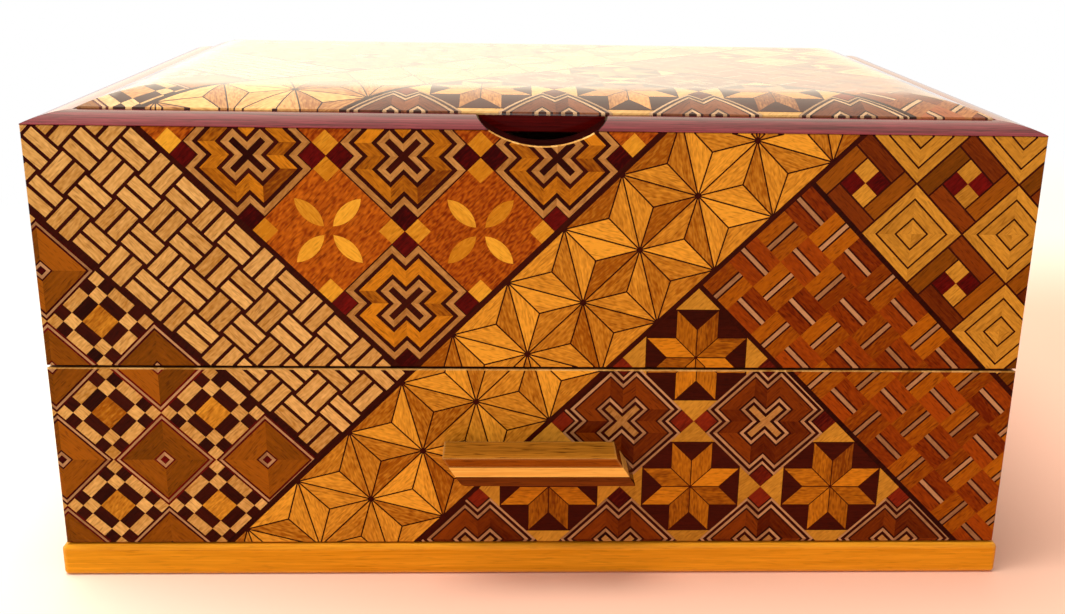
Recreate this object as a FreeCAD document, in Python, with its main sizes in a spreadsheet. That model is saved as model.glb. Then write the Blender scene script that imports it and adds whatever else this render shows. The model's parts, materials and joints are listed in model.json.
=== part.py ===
"""A lidded marquetry box with one drawer and a hidden sliding key, all of wood.

Frame: origin at the middle of the base's underside, +Z up, the front faces -Y. Millimetres.
"""
import FreeCAD
import Part
import Sketcher
import os
import re

# Driving dimensions: name, millimetres, what it measures
DIMENSIONS = (
    ("case_width", 182.0, "over the side sheets"),
    ("case_depth", 122.0, "over the front and back sheets"),
    ("case_height", 81.5, "from the base plate to the top edge of the sheets"),
    ("wall_thickness", 6.5, "case walls and drawer front, without the sheet"),
    ("veneer_thickness", 0.5, "marquetry sheets"),
    ("base_thickness", 6.2, "base plate"),
    ("base_overhang", 0.9, "base plate past the sheets on every side"),
    ("base_rounding", 1.0, "eased edges of the base plate"),
    ("seam_height", 36.7, "middle of the seam over the drawer, above the base plate"),
    ("seam_gap", 0.5, "open seam between the drawer front and the wall over it"),
    ("floor_height", 39.3, "underside of the middle floor above the base plate"),
    ("floor_thickness", 3.5, "middle floor"),
    ("floor_groove", 2.0, "how deep the middle floor is let into the walls"),
    ("rim_rise", 1.8, "inner edge of the rim above the sheets"),
    ("rim_arris", 0.15, "upright part of the rim's outer edge"),
    ("rim_radius", 16.0, "rounded top of the rim"),
    ("rim_depth", 4.5, "rim below the top edge of the sheets"),
    ("notch_radius", 17.7, "finger notch"),
    ("notch_depth", 2.8, "bottom of the finger notch below the top edge of the sheets"),
    ("lid_gap", 0.5, "between the lid and the rim"),
    ("lid_drop", 1.5, "underside of the lid below the top edge of the sheets"),
    ("lid_proud", 0.25, "edges of the lid above the inner edge of the rim"),
    ("lid_crown", 2.9, "middle of the lid above its edges"),
    ("lid_crown_run", 13.1, "width of the rounded border of the lid"),
    ("lid_edging", 6.0, "width of the edge pieces of the lid"),
    ("lid_rail", 10.0, "width of the hinge rail of the lid"),
    ("lid_chamfer", 1.2, "upper rear arris of the lid, taken off to clear the rim"),
    ("hinge_inset", 4.0, "hinge axis from the rear face of the lid"),
    ("hinge_height", 1.8, "hinge axis above the underside of the lid"),
    ("pin_radius", 0.8, "hinge pins"),
    ("pin_in_rim", 3.5, "length of a hinge pin in the rim"),
    ("pin_in_lid", 7.0, "length of a hinge pin past the inner face of the rim"),
    ("pin_clearance", 0.05, "radial running fit of the pins in the lid"),
    ("ledge_width", 4.0, "ledges under the lid"),
    ("ledge_height", 5.0, "ledges under the lid"),
    ("ledge_gap", 0.2, "between the lid and its ledges"),
    ("ledge_clear", 12.0, "free stretch behind the ledges, where the lid dips as it opens"),
    ("drawer_gap", 0.3, "running gap of the drawer at its sides and its lower edge"),
    ("drawer_stop_gap", 0.2, "between the closed drawer front and the case"),
    ("drawer_rear_gap", 0.6, "between the closed drawer and the back wall"),
    ("drawer_side_height", 33.0, "drawer sides"),
    ("drawer_side_thickness", 5.0, "drawer sides and back"),
    ("drawer_bottom_lift", 2.0, "drawer bottom above the lower edge of the sides"),
    ("drawer_bottom_thickness", 3.0, "drawer bottom"),
    ("drawer_groove", 2.0, "how deep the drawer bottom is let in"),
    ("handle_length", 32.5, "handle along its top"),
    ("handle_depth", 7.75, "how far the handle stands out"),
    ("handle_layer", 1.9, "each of its three layers"),
    ("handle_lean", 1.22, "sideways step of the slanted ends over one layer"),
    ("handle_shift", -1.75, "middle of the handle's top from the middle of the drawer"),
    ("handle_top", 21.8, "top of the handle above the base plate"),
    ("handle_rounding", 1.6, "lower left edge of the handle"),
    ("peg_radius", 0.7, "pegs that hold the handle"),
    ("peg_spacing", 18.0, "between the pegs of the handle"),
    ("peg_in_handle", 5.0, "length of a peg in the handle"),
    ("key_travel", 10.0, "sliding way of the key"),
    ("key_gap", 0.3, "running gap round the key"),
    ("key_strip_depth", 13.0, "key strip, front to back"),
    ("key_strip_height", 5.0, "key strip"),
    ("tongue_width", 8.0, "tongue along the strip"),
    ("tongue_thickness", 4.0, "stem of the tongue, front to back"),
    ("tongue_shoulder", 1.2, "foot of the tongue past the stem, front and back"),
    ("tongue_tenon", 4.0, "stem of the tongue in the strip"),
    ("tongue_bite", 6.0, "tongue below the top edge of the drawer back"),
    ("gate_room", 1.0, "room round the tongue in the gate of the drawer back"),
    ("key_peg_radius", 1.2, "cross peg of the key"),
)

doc = FreeCAD.newDocument("marquetry_box")
sheet = doc.addObject("Spreadsheet::Sheet", "Sizes")
for row, (alias, millimetres, note) in enumerate(DIMENSIONS, start=1):
    sheet.set(f"A{row}", alias)
    sheet.set(f"B{row}", str(millimetres))
    sheet.set(f"C{row}", note)
    sheet.setAlias(f"B{row}", alias)
doc.recompute()

# Places worked out from the driving dimensions, as formulas of the sheet's names
HALF_WIDTH = "case_width / 2"
HALF_DEPTH = "case_depth / 2"
CORE_X = "(case_width / 2 - veneer_thickness)"
CORE_Y = "(case_depth / 2 - veneer_thickness)"
INNER_X = "(case_width / 2 - veneer_thickness - wall_thickness)"
INNER_Y = "(case_depth / 2 - veneer_thickness - wall_thickness)"
SHEET_TOP = "(base_thickness + case_height)"
WALL_TOP = "(base_thickness + case_height - rim_depth)"
RIM_WIDTH = "(veneer_thickness + wall_thickness)"
SEAM_TOP = "(base_thickness + seam_height + seam_gap / 2)"
SEAM_BOTTOM = "(base_thickness + seam_height - seam_gap / 2)"
FLOOR_UNDER = "(base_thickness + floor_height)"
FLOOR_TOP = "(base_thickness + floor_height + floor_thickness)"
LID_X = f"({INNER_X} - lid_gap)"
LID_Y = f"({INNER_Y} - lid_gap)"
LID_UNDER = f"({SHEET_TOP} - lid_drop)"
LID_EDGE = "(lid_drop + rim_rise + lid_proud - veneer_thickness)"
HINGE_Y = f"({LID_Y} - hinge_inset)"
HINGE_Z = f"({LID_UNDER} + hinge_height)"
DRAWER_X = f"({INNER_X} - drawer_gap)"
DRAWER_INSIDE = f"({DRAWER_X} - drawer_side_thickness)"
DRAWER_LOW = "(base_thickness + drawer_gap)"
DRAWER_TOP = f"({DRAWER_LOW} + drawer_side_height)"
DRAWER_FACE = f"(-{INNER_Y} - drawer_stop_gap)"
DRAWER_REAR = f"({INNER_Y} - drawer_rear_gap)"
DRAWER_BACK = f"({DRAWER_REAR} - drawer_side_thickness)"
DRAWER_BED = f"({DRAWER_LOW} + drawer_bottom_lift)"
PEG_Z = "(base_thickness + handle_top - 1.5 * handle_layer)"
KEY_REAR = f"({INNER_Y} - key_gap)"
KEY_FRONT = f"({KEY_REAR} - key_strip_depth)"
KEY_UNDER = f"({FLOOR_TOP} + key_gap)"
KEY_LEFT = f"(-{INNER_X} + key_gap)"
KEY_RIGHT = f"({INNER_X} - key_gap - key_travel)"
TONGUE_X = "(-key_travel / 2)"
FOOT_REAR = f"({DRAWER_BACK} - key_gap)"
STEM_REAR = f"({FOOT_REAR} - tongue_shoulder)"
STEM_FRONT = f"({STEM_REAR} - tongue_thickness)"
FOOT_FRONT = f"({STEM_FRONT} - tongue_shoulder)"
FOOT_LOW = f"({DRAWER_TOP} - tongue_bite)"

ALIASES = {alias for alias, millimetres, note in DIMENSIONS}
ALONG_X = FreeCAD.Rotation(FreeCAD.Vector(0, 1, 0), 90)
ALONG_Y = FreeCAD.Rotation(FreeCAD.Vector(1, 0, 0), -90)


def formula(text):
    """Point every name in a formula at its cell of the sheet."""
    return re.sub(r"[a-z_]+", lambda word: "Sizes." + word.group(), str(text))


def size(alias):
    """The number that stands in the sheet."""
    return float(sheet.get(alias))


def bind(item, **formulas):
    """Tie properties to formulas of the sheet."""
    for name, text in formulas.items():
        item.setExpression(name, formula(text))


def place(item, x=0, y=0, z=0, turn=None):
    """Put an object at three formulas, turned if asked."""
    if turn:
        item.Placement = FreeCAD.Placement(FreeCAD.Vector(), turn)
    for axis, text in zip("xyz", (x, y, z)):
        item.setExpression(f"Placement.Base.{axis}", formula(text))
    return item


def board(label, x, y, z):
    """A board between two faces on each axis."""
    box = doc.addObject("Part::Box", label)
    for side, (low, high) in zip(("Length", "Width", "Height"), (x, y, z)):
        box.setExpression(side, formula(f"({high}) - ({low})"))
    return place(box, x[0], y[0], z[0])


def rod(label, radius, length, turn, x, y, z):
    """A round rod that starts at a point and runs along the turned axis."""
    cylinder = doc.addObject("Part::Cylinder", label)
    bind(cylinder, Radius=radius, Height=length)
    return place(cylinder, x, y, z, turn)


def boolean(kind, label, base, tool):
    """One cut, fuse or common of two objects."""
    result = doc.addObject(f"Part::{kind}", label)
    result.Base = base
    result.Tool = tool
    return result


def cut(label, base, *tools):
    """Take several tools off a piece, one after the other."""
    for number, tool in enumerate(tools, start=1):
        step = label if number == len(tools) else f"{label}_step_{number}"
        base = boolean("Cut", step, base, tool)
    return base


def span(half):
    """Both faces of something that lies evenly about the middle."""
    return f"-({half})", half


def origin_plane(body, role):
    """One of a body's own origin planes."""
    return next(item for item in body.Origin.OriginFeatures if item.Role == role)


def outline(body, plane, name, points, offset=0):
    """A closed sketch of straight sides through points given as pairs of formulas."""
    sketch = body.newObject("Sketcher::SketchObject", name)
    sketch.AttachmentSupport = [(origin_plane(body, plane), "")]
    sketch.MapMode = "FlatFace"
    sketch.setExpression("AttachmentOffset.Base.z", formula(offset))
    count = len(points)
    start = [FreeCAD.Vector(1, 0, 0), FreeCAD.Vector(1, 1, 0), FreeCAD.Vector(0, 1, 0)]
    corners = start[:count] + [FreeCAD.Vector(-step, 0, 0) for step in range(count - len(start))]
    for side in range(count):
        sketch.addGeometry(Part.LineSegment(corners[side], corners[(side + 1) % count]), False)
    for side in range(count):
        sketch.addConstraint(Sketcher.Constraint("Coincident", side, 2, (side + 1) % count, 1))
    for side, pair in enumerate(points):
        for kind, text in zip(("DistanceX", "DistanceY"), pair):
            index = sketch.addConstraint(Sketcher.Constraint(kind, -1, 1, side, 1, 1.0))
            sketch.setExpression(f"Constraints[{index}]", formula(text))
    return sketch


def pad(body, sketch, length, midplane=False, reverse=False):
    """Give a sketch its thickness."""
    feature = body.newObject("PartDesign::Pad", f"{body.Name}_pad")
    feature.Profile = sketch
    feature.Midplane = midplane
    feature.Reversed = reverse
    bind(feature, Length=length)
    return feature


def ease(body, radius, chosen):
    """Round the chosen edges of a body's last feature."""
    doc.recompute()
    base = body.Tip
    names = [f"Edge{number}" for number, edge in enumerate(base.Shape.Edges, start=1) if chosen(edge)]
    feature = body.newObject("PartDesign::Fillet", f"{body.Name}_eased")
    feature.Base = (base, names)
    bind(feature, Radius=radius)
    return feature


def base_plate():
    """The plate that the case stands on, its upper and upright edges eased."""
    body = doc.addObject("PartDesign::Body", "base_plate")
    x = f"{HALF_WIDTH} + base_overhang"
    y = f"{HALF_DEPTH} + base_overhang"
    corners = [(f"-({x})", f"-({y})"), (x, f"-({y})"), (x, y), (f"-({x})", y)]
    pad(body, outline(body, "XY_Plane", "base_plan", corners), "base_thickness")
    ease(body, "base_rounding", lambda edge: edge.BoundBox.ZMax > 0)
    return body


def case_walls():
    """Four walls; the middle floor is let into grooves round their inner faces."""
    groove = board("floor_seat", span(f"{INNER_X} + floor_groove"), span(f"{INNER_Y} + floor_groove"),
                   (FLOOR_UNDER, FLOOR_TOP))
    tall = ("base_thickness", WALL_TOP)
    blanks = {
        "left_wall": board("left_blank", (f"-{CORE_X}", f"-{INNER_X}"), span(INNER_Y), tall),
        "right_wall": board("right_blank", (INNER_X, CORE_X), span(INNER_Y), tall),
        "back_wall": board("back_blank", span(CORE_X), (INNER_Y, CORE_Y), tall),
        "front_wall": board("front_blank", span(CORE_X), (f"-{CORE_Y}", f"-{INNER_Y}"),
                            (SEAM_TOP, WALL_TOP)),
    }
    return [cut(label, blank, groove) for label, blank in blanks.items()]


def middle_floor():
    """The floor of the upper compartment, slotted for the stem of the key."""
    blank = board("floor_blank", span(f"{INNER_X} + floor_groove"), span(f"{INNER_Y} + floor_groove"),
                  (FLOOR_UNDER, FLOOR_TOP))
    slot = board("key_slot",
                 (f"{TONGUE_X} - tongue_width / 2 - key_gap",
                  f"{TONGUE_X} + tongue_width / 2 + key_travel + key_gap"),
                 (f"{STEM_FRONT} - key_gap", f"{STEM_REAR} + key_gap"),
                 (FLOOR_UNDER, FLOOR_TOP))
    return cut("middle_floor", blank, slot)


def finger_notch():
    """The round scoop at the middle of the front edge."""
    return rod("finger_notch", "notch_radius", f"{RIM_WIDTH} + 2 * lid_gap", ALONG_Y,
               0, f"-{HALF_DEPTH} - lid_gap", f"{SHEET_TOP} - notch_depth + notch_radius")


def counter_clockwise(first, over, second):
    """The arc through three points, drawn the way round that a sketch keeps its arcs."""
    turn = (over - first).cross(second - over)
    return Part.Arc(first, over, second) if turn.z > 0 else Part.Arc(second, over, first)


def curved_sketch(body, plane, name, corners, formulas, over, smooth=()):
    """A closed sketch with arcs: corners are where the formulas put them now.

    over gives, for each curved side, a point that its arc passes through, and smooth names
    the sides that run on into the next one without a corner.
    """
    sketch = body.newObject("Sketcher::SketchObject", name)
    sketch.AttachmentSupport = [(origin_plane(body, plane), "")]
    sketch.MapMode = "FlatFace"
    count = len(corners)
    ends = []
    for side in range(count):
        first = corners[side]
        second = corners[(side + 1) % count]
        if side in over:
            sketch.addGeometry(counter_clockwise(first, over[side], second), False)
        else:
            sketch.addGeometry(Part.LineSegment(first, second), False)
        drawn = sketch.Geometry[side]
        forward = drawn.StartPoint.distanceToPoint(first) < drawn.EndPoint.distanceToPoint(first)
        ends.append((1, 2) if forward else (2, 1))
    for side in range(count):
        after = (side + 1) % count
        kind = "Tangent" if side in smooth else "Coincident"
        sketch.addConstraint(Sketcher.Constraint(kind, side, ends[side][1], after, ends[after][0]))
    for side, (corner, pair) in enumerate(zip(corners, formulas)):
        for kind, now, text in zip(("DistanceX", "DistanceY"), (corner.x, corner.y), pair):
            if text:
                index = sketch.addConstraint(Sketcher.Constraint(kind, -1, 1, side, ends[side][0], now))
                sketch.setExpression(f"Constraints[{index}]", formula(text))
    return sketch


def set_radius(sketch, side, now, text):
    """Hold the radius of a curved side at a formula."""
    index = sketch.addConstraint(Sketcher.Constraint("Radius", side, now))
    sketch.setExpression(f"Constraints[{index}]", formula(text))


def rim_profile(body, plane, name, side):
    """Cross-section of a rim strip: side -1 has its outer face towards the negative axis."""
    outer = "case_depth" if plane == "YZ_Plane" else "case_width"
    width = size("veneer_thickness") + size("wall_thickness")
    top = size("base_thickness") + size("case_height")
    low = top - size("rim_depth")
    rebate = size("veneer_thickness")
    places = [(0, top), (rebate, top), (rebate, low), (width, low),
              (width, top + size("rim_rise")), (0, top + size("rim_arris"))]
    corners = [FreeCAD.Vector(side * (size(outer) / 2 - inset), height, 0) for inset, height in places]
    insets = ["0", "veneer_thickness", "veneer_thickness", RIM_WIDTH, RIM_WIDTH, "0"]
    heights = [SHEET_TOP, SHEET_TOP, WALL_TOP, WALL_TOP, f"{SHEET_TOP} + rim_rise",
               f"{SHEET_TOP} + rim_arris"]
    formulas = [(f"{side} * ({outer} / 2 - {inset})", height) for inset, height in zip(insets, heights)]
    top_side = 4
    over = {top_side: rounded_top(corners[top_side], corners[top_side + 1], size("rim_radius"))}
    sketch = curved_sketch(body, plane, name, corners, formulas, over)
    set_radius(sketch, top_side, size("rim_radius"), "rim_radius")
    return sketch


def rounded_top(first, second, radius):
    """The top of the arc of a given radius over two points."""
    chord = second - first
    middle = (first + second) * 0.5
    upward = FreeCAD.Vector(-chord.y, chord.x, 0)
    if upward.y < 0:
        upward = upward * -1
    upward.normalize()
    sag = radius - (radius ** 2 - (chord.Length / 2) ** 2) ** 0.5
    return middle + upward * sag


def rim_strip(label, plane, side, length):
    """One rim strip, mitred at both ends by the plan of its side of the frame."""
    body = doc.addObject("PartDesign::Body", f"{label}_strip")
    pad(body, rim_profile(body, plane, f"{label}_section", side), length, midplane=True)
    plan = doc.addObject("PartDesign::Body", f"{label}_mitre")
    outer = [(f"-{HALF_WIDTH}", f"{HALF_DEPTH}"), (HALF_WIDTH, HALF_DEPTH)]
    inner = [(INNER_X, INNER_Y), (f"-{INNER_X}", INNER_Y)]
    corners = outer + inner
    if plane == "YZ_Plane":
        corners = [(x, f"{side} * ({y})") for x, y in corners]
    else:
        swap = [(HALF_WIDTH, f"-{HALF_DEPTH}"), (HALF_WIDTH, HALF_DEPTH), (INNER_X, INNER_Y),
                (INNER_X, f"-{INNER_Y}")]
        corners = [(f"{side} * ({x})", y) for x, y in swap]
    sketch = outline(plan, "XY_Plane", f"{label}_plan", corners, WALL_TOP)
    pad(plan, sketch, "rim_depth + 2 * rim_rise")
    return boolean("Common", f"{label}_blank", body, plan)


def hinge_rod(label, side, radius, start, length):
    """A rod on the hinge axis; start is measured from the rim's inner face towards the outside."""
    low = f"{INNER_X} + ({start}) - ({length})"
    x = low if side > 0 else f"-({INNER_X} + ({start}))"
    return rod(label, radius, length, ALONG_X, x, HINGE_Y, HINGE_Z)


def rim(notch):
    """The dark frame round the lid: front with the notch, back plain, sides bored for the pins."""
    front = cut("rim_front", rim_strip("rim_front", "YZ_Plane", -1, "case_width"), notch)
    back = rim_strip("rim_back", "YZ_Plane", 1, "case_width")
    back.Label = "rim_back"
    sides = []
    for name, side in (("left", -1), ("right", 1)):
        blank = rim_strip(f"rim_{name}", "XZ_Plane", side, "case_depth")
        bore = hinge_rod(f"rim_bore_{name}", side, "pin_radius", "pin_in_rim", "pin_in_rim + lid_gap")
        sides.append(cut(f"rim_{name}", blank, bore))
    return [front, back] + sides


def hinge_pins():
    """Two brass pins, tight in the rim and running in the lid."""
    return [hinge_rod(f"hinge_pin_{name}", side, "pin_radius", "pin_in_rim", "pin_in_rim + pin_in_lid")
            for name, side in (("left", -1), ("right", 1))]


def case_veneers(notch):
    """The marquetry sheets of the case; the side sheets leave out the ends of the drawer front."""
    full = ("base_thickness", SHEET_TOP)
    front = board("front_sheet", span(HALF_WIDTH), (f"-{HALF_DEPTH}", f"-{CORE_Y}"), (SEAM_TOP, SHEET_TOP))
    pieces = [cut("front_veneer", front, notch),
              board("back_veneer", span(HALF_WIDTH), (CORE_Y, HALF_DEPTH), full)]
    for name, faces in (("left", (f"-{HALF_WIDTH}", f"-{CORE_X}")), ("right", (CORE_X, HALF_WIDTH))):
        whole = board(f"{name}_sheet", faces, span(CORE_Y), full)
        corner = board(f"{name}_drawer_end", faces, (f"-{CORE_Y}", f"-{INNER_Y}"),
                       ("base_thickness", SEAM_TOP))
        pieces.append(cut(f"{name}_veneer", whole, corner))
    return pieces


def lid_ledges():
    """Two strips inside the side walls that the closed lid rests on."""
    y = (f"-{INNER_Y}", f"{INNER_Y} - ledge_clear")
    z = (f"{LID_UNDER} - ledge_gap - ledge_height", f"{LID_UNDER} - ledge_gap")
    return [board("lid_ledge_left", (f"-{INNER_X}", f"-{INNER_X} + ledge_width"), y, z),
            board("lid_ledge_right", (f"{INNER_X} - ledge_width", INNER_X), y, z)]


def crown_profile(body, plane, name, half, half_now, lift, rear):
    """The lid along one axis: a flat middle, rounded borders, the rear arris taken off if asked."""
    lift_now = size(lift) if lift in ALIASES else 0.0
    low = size("base_thickness") + size("case_height") - size("lid_drop") + lift_now
    edge = low + size("lid_drop") + size("rim_rise") + size("lid_proud") - size("veneer_thickness")
    top = edge + size("lid_crown")
    run = size("lid_crown_run")
    chamfer = size("lid_chamfer")
    radius = (run ** 2 + size("lid_crown") ** 2) / (2 * size("lid_crown"))
    shoulder = top - radius + (radius ** 2 - (run - chamfer) ** 2) ** 0.5
    under = f"{LID_UNDER} + {lift}"
    rim_level = f"{under} + {LID_EDGE}"
    flat = f"{half} - lid_crown_run"
    places = [
        ((-half_now, low), (f"-({half})", under)),
        ((half_now, low), (half, under)),
        ((half_now, edge), (half, rim_level)),
        ((half_now - run, top), (flat, f"{rim_level} + lid_crown")),
        ((run - half_now, top), (f"-({flat})", f"{rim_level} + lid_crown")),
        ((-half_now, edge), (f"-({half})", rim_level)),
    ]
    if rear:
        places[2:3] = [((half_now, edge - chamfer), (half, f"{rim_level} - lid_chamfer")),
                       ((half_now - chamfer, shoulder), (f"{half} - lid_chamfer", None))]
    corners = [FreeCAD.Vector(across, height, 0) for (across, height), pair in places]
    right = len(places) - 4
    left = len(places) - 2
    over = {side: rounded_top(corners[side], corners[side + 1], radius) for side in (right, left)}
    sketch = curved_sketch(body, plane, name, corners, [pair for place, pair in places], over,
                           smooth=(right, left - 1))
    if rear:
        set_radius(sketch, right, radius, "(lid_crown_run ^ 2 + lid_crown ^ 2) / (2 * lid_crown)")
    return sketch


def lid_form(name, lift):
    """The pillow shape of the lid: what two crowned bars, one along each axis, have in common."""
    inner_x = size("case_width") / 2 - size("veneer_thickness") - size("wall_thickness")
    inner_y = size("case_depth") / 2 - size("veneer_thickness") - size("wall_thickness")
    across = doc.addObject("PartDesign::Body", f"{name}_across")
    sketch = crown_profile(across, "XZ_Plane", f"{name}_front_view", LID_X, inner_x - size("lid_gap"), lift,
                           False)
    pad(across, sketch, f"2 * {LID_Y}", midplane=True)
    along = doc.addObject("PartDesign::Body", f"{name}_along")
    sketch = crown_profile(along, "YZ_Plane", f"{name}_side_view", LID_Y, inner_y - size("lid_gap"), lift,
                           True)
    pad(along, sketch, f"2 * {LID_X}", midplane=True)
    return boolean("Common", name, across, along)


def lid():
    """Core, three edge pieces and the hinge rail under one marquetry sheet."""
    form = lid_form("lid_form", "0")
    sheet_form = lid_form("lid_sheet_form", "veneer_thickness")
    z = (LID_UNDER, f"{LID_UNDER} + {LID_EDGE} + lid_crown")
    front = f"-{LID_Y} + lid_edging"
    rear = f"{LID_Y} - lid_rail"
    plans = {
        "lid_core": (span(f"{LID_X} - lid_edging"), (front, rear)),
        "lid_edge_front": (span(LID_X), (f"-{LID_Y}", front)),
        "lid_edge_left": ((f"-{LID_X}", f"-{LID_X} + lid_edging"), (front, rear)),
        "lid_edge_right": ((f"{LID_X} - lid_edging", LID_X), (front, rear)),
    }
    pieces = [boolean("Common", label, form, board(f"{label}_plan", x, y, z))
              for label, (x, y) in plans.items()]
    rail = boolean("Common", "lid_rail_blank", form,
                   board("lid_rail_plan", span(LID_X), (rear, LID_Y), z))
    bores = [hinge_rod(f"lid_bore_{name}", side, "pin_radius + pin_clearance", "0",
                       "pin_in_lid + lid_gap")
             for name, side in (("left", -1), ("right", 1))]
    pieces.append(cut("lid_hinge_rail", rail, *bores))
    pieces.append(boolean("Cut", "lid_veneer", sheet_form, form))
    return pieces


def drawer_box(pegs):
    """Front, sides, back with the gate for the key, and a bottom let into all four."""
    seat = board("drawer_bottom_seat", span(f"{DRAWER_INSIDE} + drawer_groove"),
                 (f"{DRAWER_FACE} - drawer_groove", f"{DRAWER_BACK} + drawer_groove"),
                 (DRAWER_BED, f"{DRAWER_BED} + drawer_bottom_thickness"))
    z = (DRAWER_LOW, DRAWER_TOP)
    y = (DRAWER_FACE, DRAWER_REAR)
    gate = board("key_gate",
                 (f"{TONGUE_X} - tongue_width / 2 - gate_room", f"{TONGUE_X} + tongue_width / 2 + gate_room"),
                 (DRAWER_BACK, DRAWER_REAR), (f"{FOOT_LOW} - gate_room", DRAWER_TOP))
    front = board("drawer_front_blank", span(CORE_X), (f"-{CORE_Y}", DRAWER_FACE), (DRAWER_LOW, SEAM_BOTTOM))
    left = board("drawer_left_blank", (f"-{DRAWER_X}", f"-{DRAWER_INSIDE}"), y, z)
    right = board("drawer_right_blank", (DRAWER_INSIDE, DRAWER_X), y, z)
    back = board("drawer_back_blank", span(DRAWER_INSIDE), (DRAWER_BACK, DRAWER_REAR), z)
    bottom = board("drawer_bottom", span(f"{DRAWER_INSIDE} + drawer_groove"),
                   (f"{DRAWER_FACE} - drawer_groove", f"{DRAWER_BACK} + drawer_groove"),
                   (DRAWER_BED, f"{DRAWER_BED} + drawer_bottom_thickness"))
    return [cut("drawer_front", front, seat, pegs), cut("drawer_side_left", left, seat),
            cut("drawer_side_right", right, seat), cut("drawer_back", back, seat, gate), bottom]


def drawer_veneers(pegs):
    """The sheet on the drawer front and the two on its ends."""
    z = (DRAWER_LOW, SEAM_BOTTOM)
    y = (f"-{CORE_Y}", DRAWER_FACE)
    face = board("drawer_sheet", span(HALF_WIDTH), (f"-{HALF_DEPTH}", f"-{CORE_Y}"), z)
    return [cut("drawer_veneer", face, pegs),
            board("drawer_end_veneer_left", (f"-{HALF_WIDTH}", f"-{CORE_X}"), y, z),
            board("drawer_end_veneer_right", (CORE_X, HALF_WIDTH), y, z)]


def handle_pegs():
    """Two pegs from the drawer front into the middle layer of the handle."""
    length = "wall_thickness - drawer_stop_gap + veneer_thickness + peg_in_handle"
    pegs = [rod(f"handle_peg_{name}", "peg_radius", length, ALONG_Y, f"{side} * peg_spacing / 2",
                f"-{HALF_DEPTH} - peg_in_handle", PEG_Z)
            for name, side in (("left", -1), ("right", 1))]
    return boolean("Fuse", "handle_pegs", *pegs)


def handle_layer(label, number):
    """One slanted layer, counted down from the top."""
    body = doc.addObject("PartDesign::Body", label)
    high = f"base_thickness + handle_top - {number} * handle_layer"
    low = f"base_thickness + handle_top - {number + 1} * handle_layer"
    left = f"handle_shift - handle_length / 2 + {number} * handle_lean"
    right = f"handle_shift + handle_length / 2 + {number} * handle_lean"
    corners = [(left, high), (f"{left} + handle_lean", low), (f"{right} + handle_lean", low), (right, high)]
    sketch = outline(body, "XZ_Plane", f"{label}_front_view", corners, HALF_DEPTH)
    pad(body, sketch, "handle_depth")
    return body


def handle(pegs):
    """Brown, light and dark layers glued into one bar; the lower left edge is rounded."""
    top = handle_layer("handle_top_layer", 0)
    middle = cut("handle_middle_layer", handle_layer("handle_middle_blank", 1), pegs)
    bottom = handle_layer("handle_bottom_layer", 2)
    doc.recompute()
    low = bottom.Shape.BoundBox.ZMin
    gap = size("handle_layer") / 2
    ease(bottom, "handle_rounding", lambda edge: edge.BoundBox.YLength > gap
         and edge.BoundBox.ZMax < low + gap and edge.CenterOfMass.x < 0)
    return [top, middle, bottom]


def secret_key():
    """A skirting strip that slides sideways, its tongue hanging into the drawer, and the peg in both."""
    peg = rod("key_peg", "key_peg_radius", "key_strip_depth", ALONG_Y, TONGUE_X, KEY_FRONT,
              f"{KEY_UNDER} + tongue_tenon / 2")
    width = (f"{TONGUE_X} - tongue_width / 2", f"{TONGUE_X} + tongue_width / 2")
    depth = (STEM_FRONT, STEM_REAR)
    mortise = board("key_mortise", width, depth, (KEY_UNDER, f"{KEY_UNDER} + tongue_tenon"))
    strip = board("key_strip_blank", (KEY_LEFT, KEY_RIGHT), (KEY_FRONT, KEY_REAR),
                  (KEY_UNDER, f"{KEY_UNDER} + key_strip_height"))
    stem = board("tongue_stem", width, depth, (f"{FLOOR_UNDER} - key_gap", f"{KEY_UNDER} + tongue_tenon"))
    foot = board("tongue_foot", width, (FOOT_FRONT, FOOT_REAR), (FOOT_LOW, f"{FLOOR_UNDER} - key_gap"))
    tongue = boolean("Fuse", "tongue_blank", stem, foot)
    return [cut("key_strip", strip, mortise, peg), cut("key_tongue", tongue, peg), peg]


def build():
    """Every piece of the box, in the order it is put together."""
    notch = finger_notch()
    pegs = handle_pegs()
    pieces = [base_plate(), *case_walls(), middle_floor(), *rim(notch), *hinge_pins()]
    pieces += [*case_veneers(notch), *lid_ledges(), *lid()]
    pieces += [*drawer_box(pegs), *drawer_veneers(pegs), *handle(pegs), pegs, *secret_key()]
    return pieces


def check(pieces):
    """Stop on a failed object or a piece whose shape is empty or not sound."""
    failed = [item.Label for item in doc.Objects if {"Invalid", "Error"} & set(item.State)]
    failed += [piece.Label for piece in pieces if piece.Shape.isNull() or not piece.Shape.isValid()]
    if failed:
        raise RuntimeError("failed: " + ", ".join(failed))


PIECES = build()
doc.recompute()
check(PIECES)
os.makedirs("parts", exist_ok=True)
for piece in PIECES:
    piece.Shape.exportStep(f"parts/{piece.Label}.step")
    print(piece.Label, len(piece.Shape.Solids), round(piece.Shape.Volume, 1))
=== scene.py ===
# %% [markdown]
# # A wooden puzzle box in marquetry
#
# The box is a small chest of plain boards covered with thin sheets of marquetry: rods of
# differently coloured woods are glued into a patterned block, and sheets are planed off its end.
# The CAD model gives every board, the lid, the drawer and the sliding key in their true places.
# This lesson dresses that model: it builds the inlaid sheets tile by tile, rounds the sharp
# arrises of the boards, and gives each wood its grain and its lacquer.

# %% Load the fixed frame
import json
import math
import random

import bmesh
import bpy
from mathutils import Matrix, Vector
from mathutils.geometry import delaunay_2d_cdt

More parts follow.
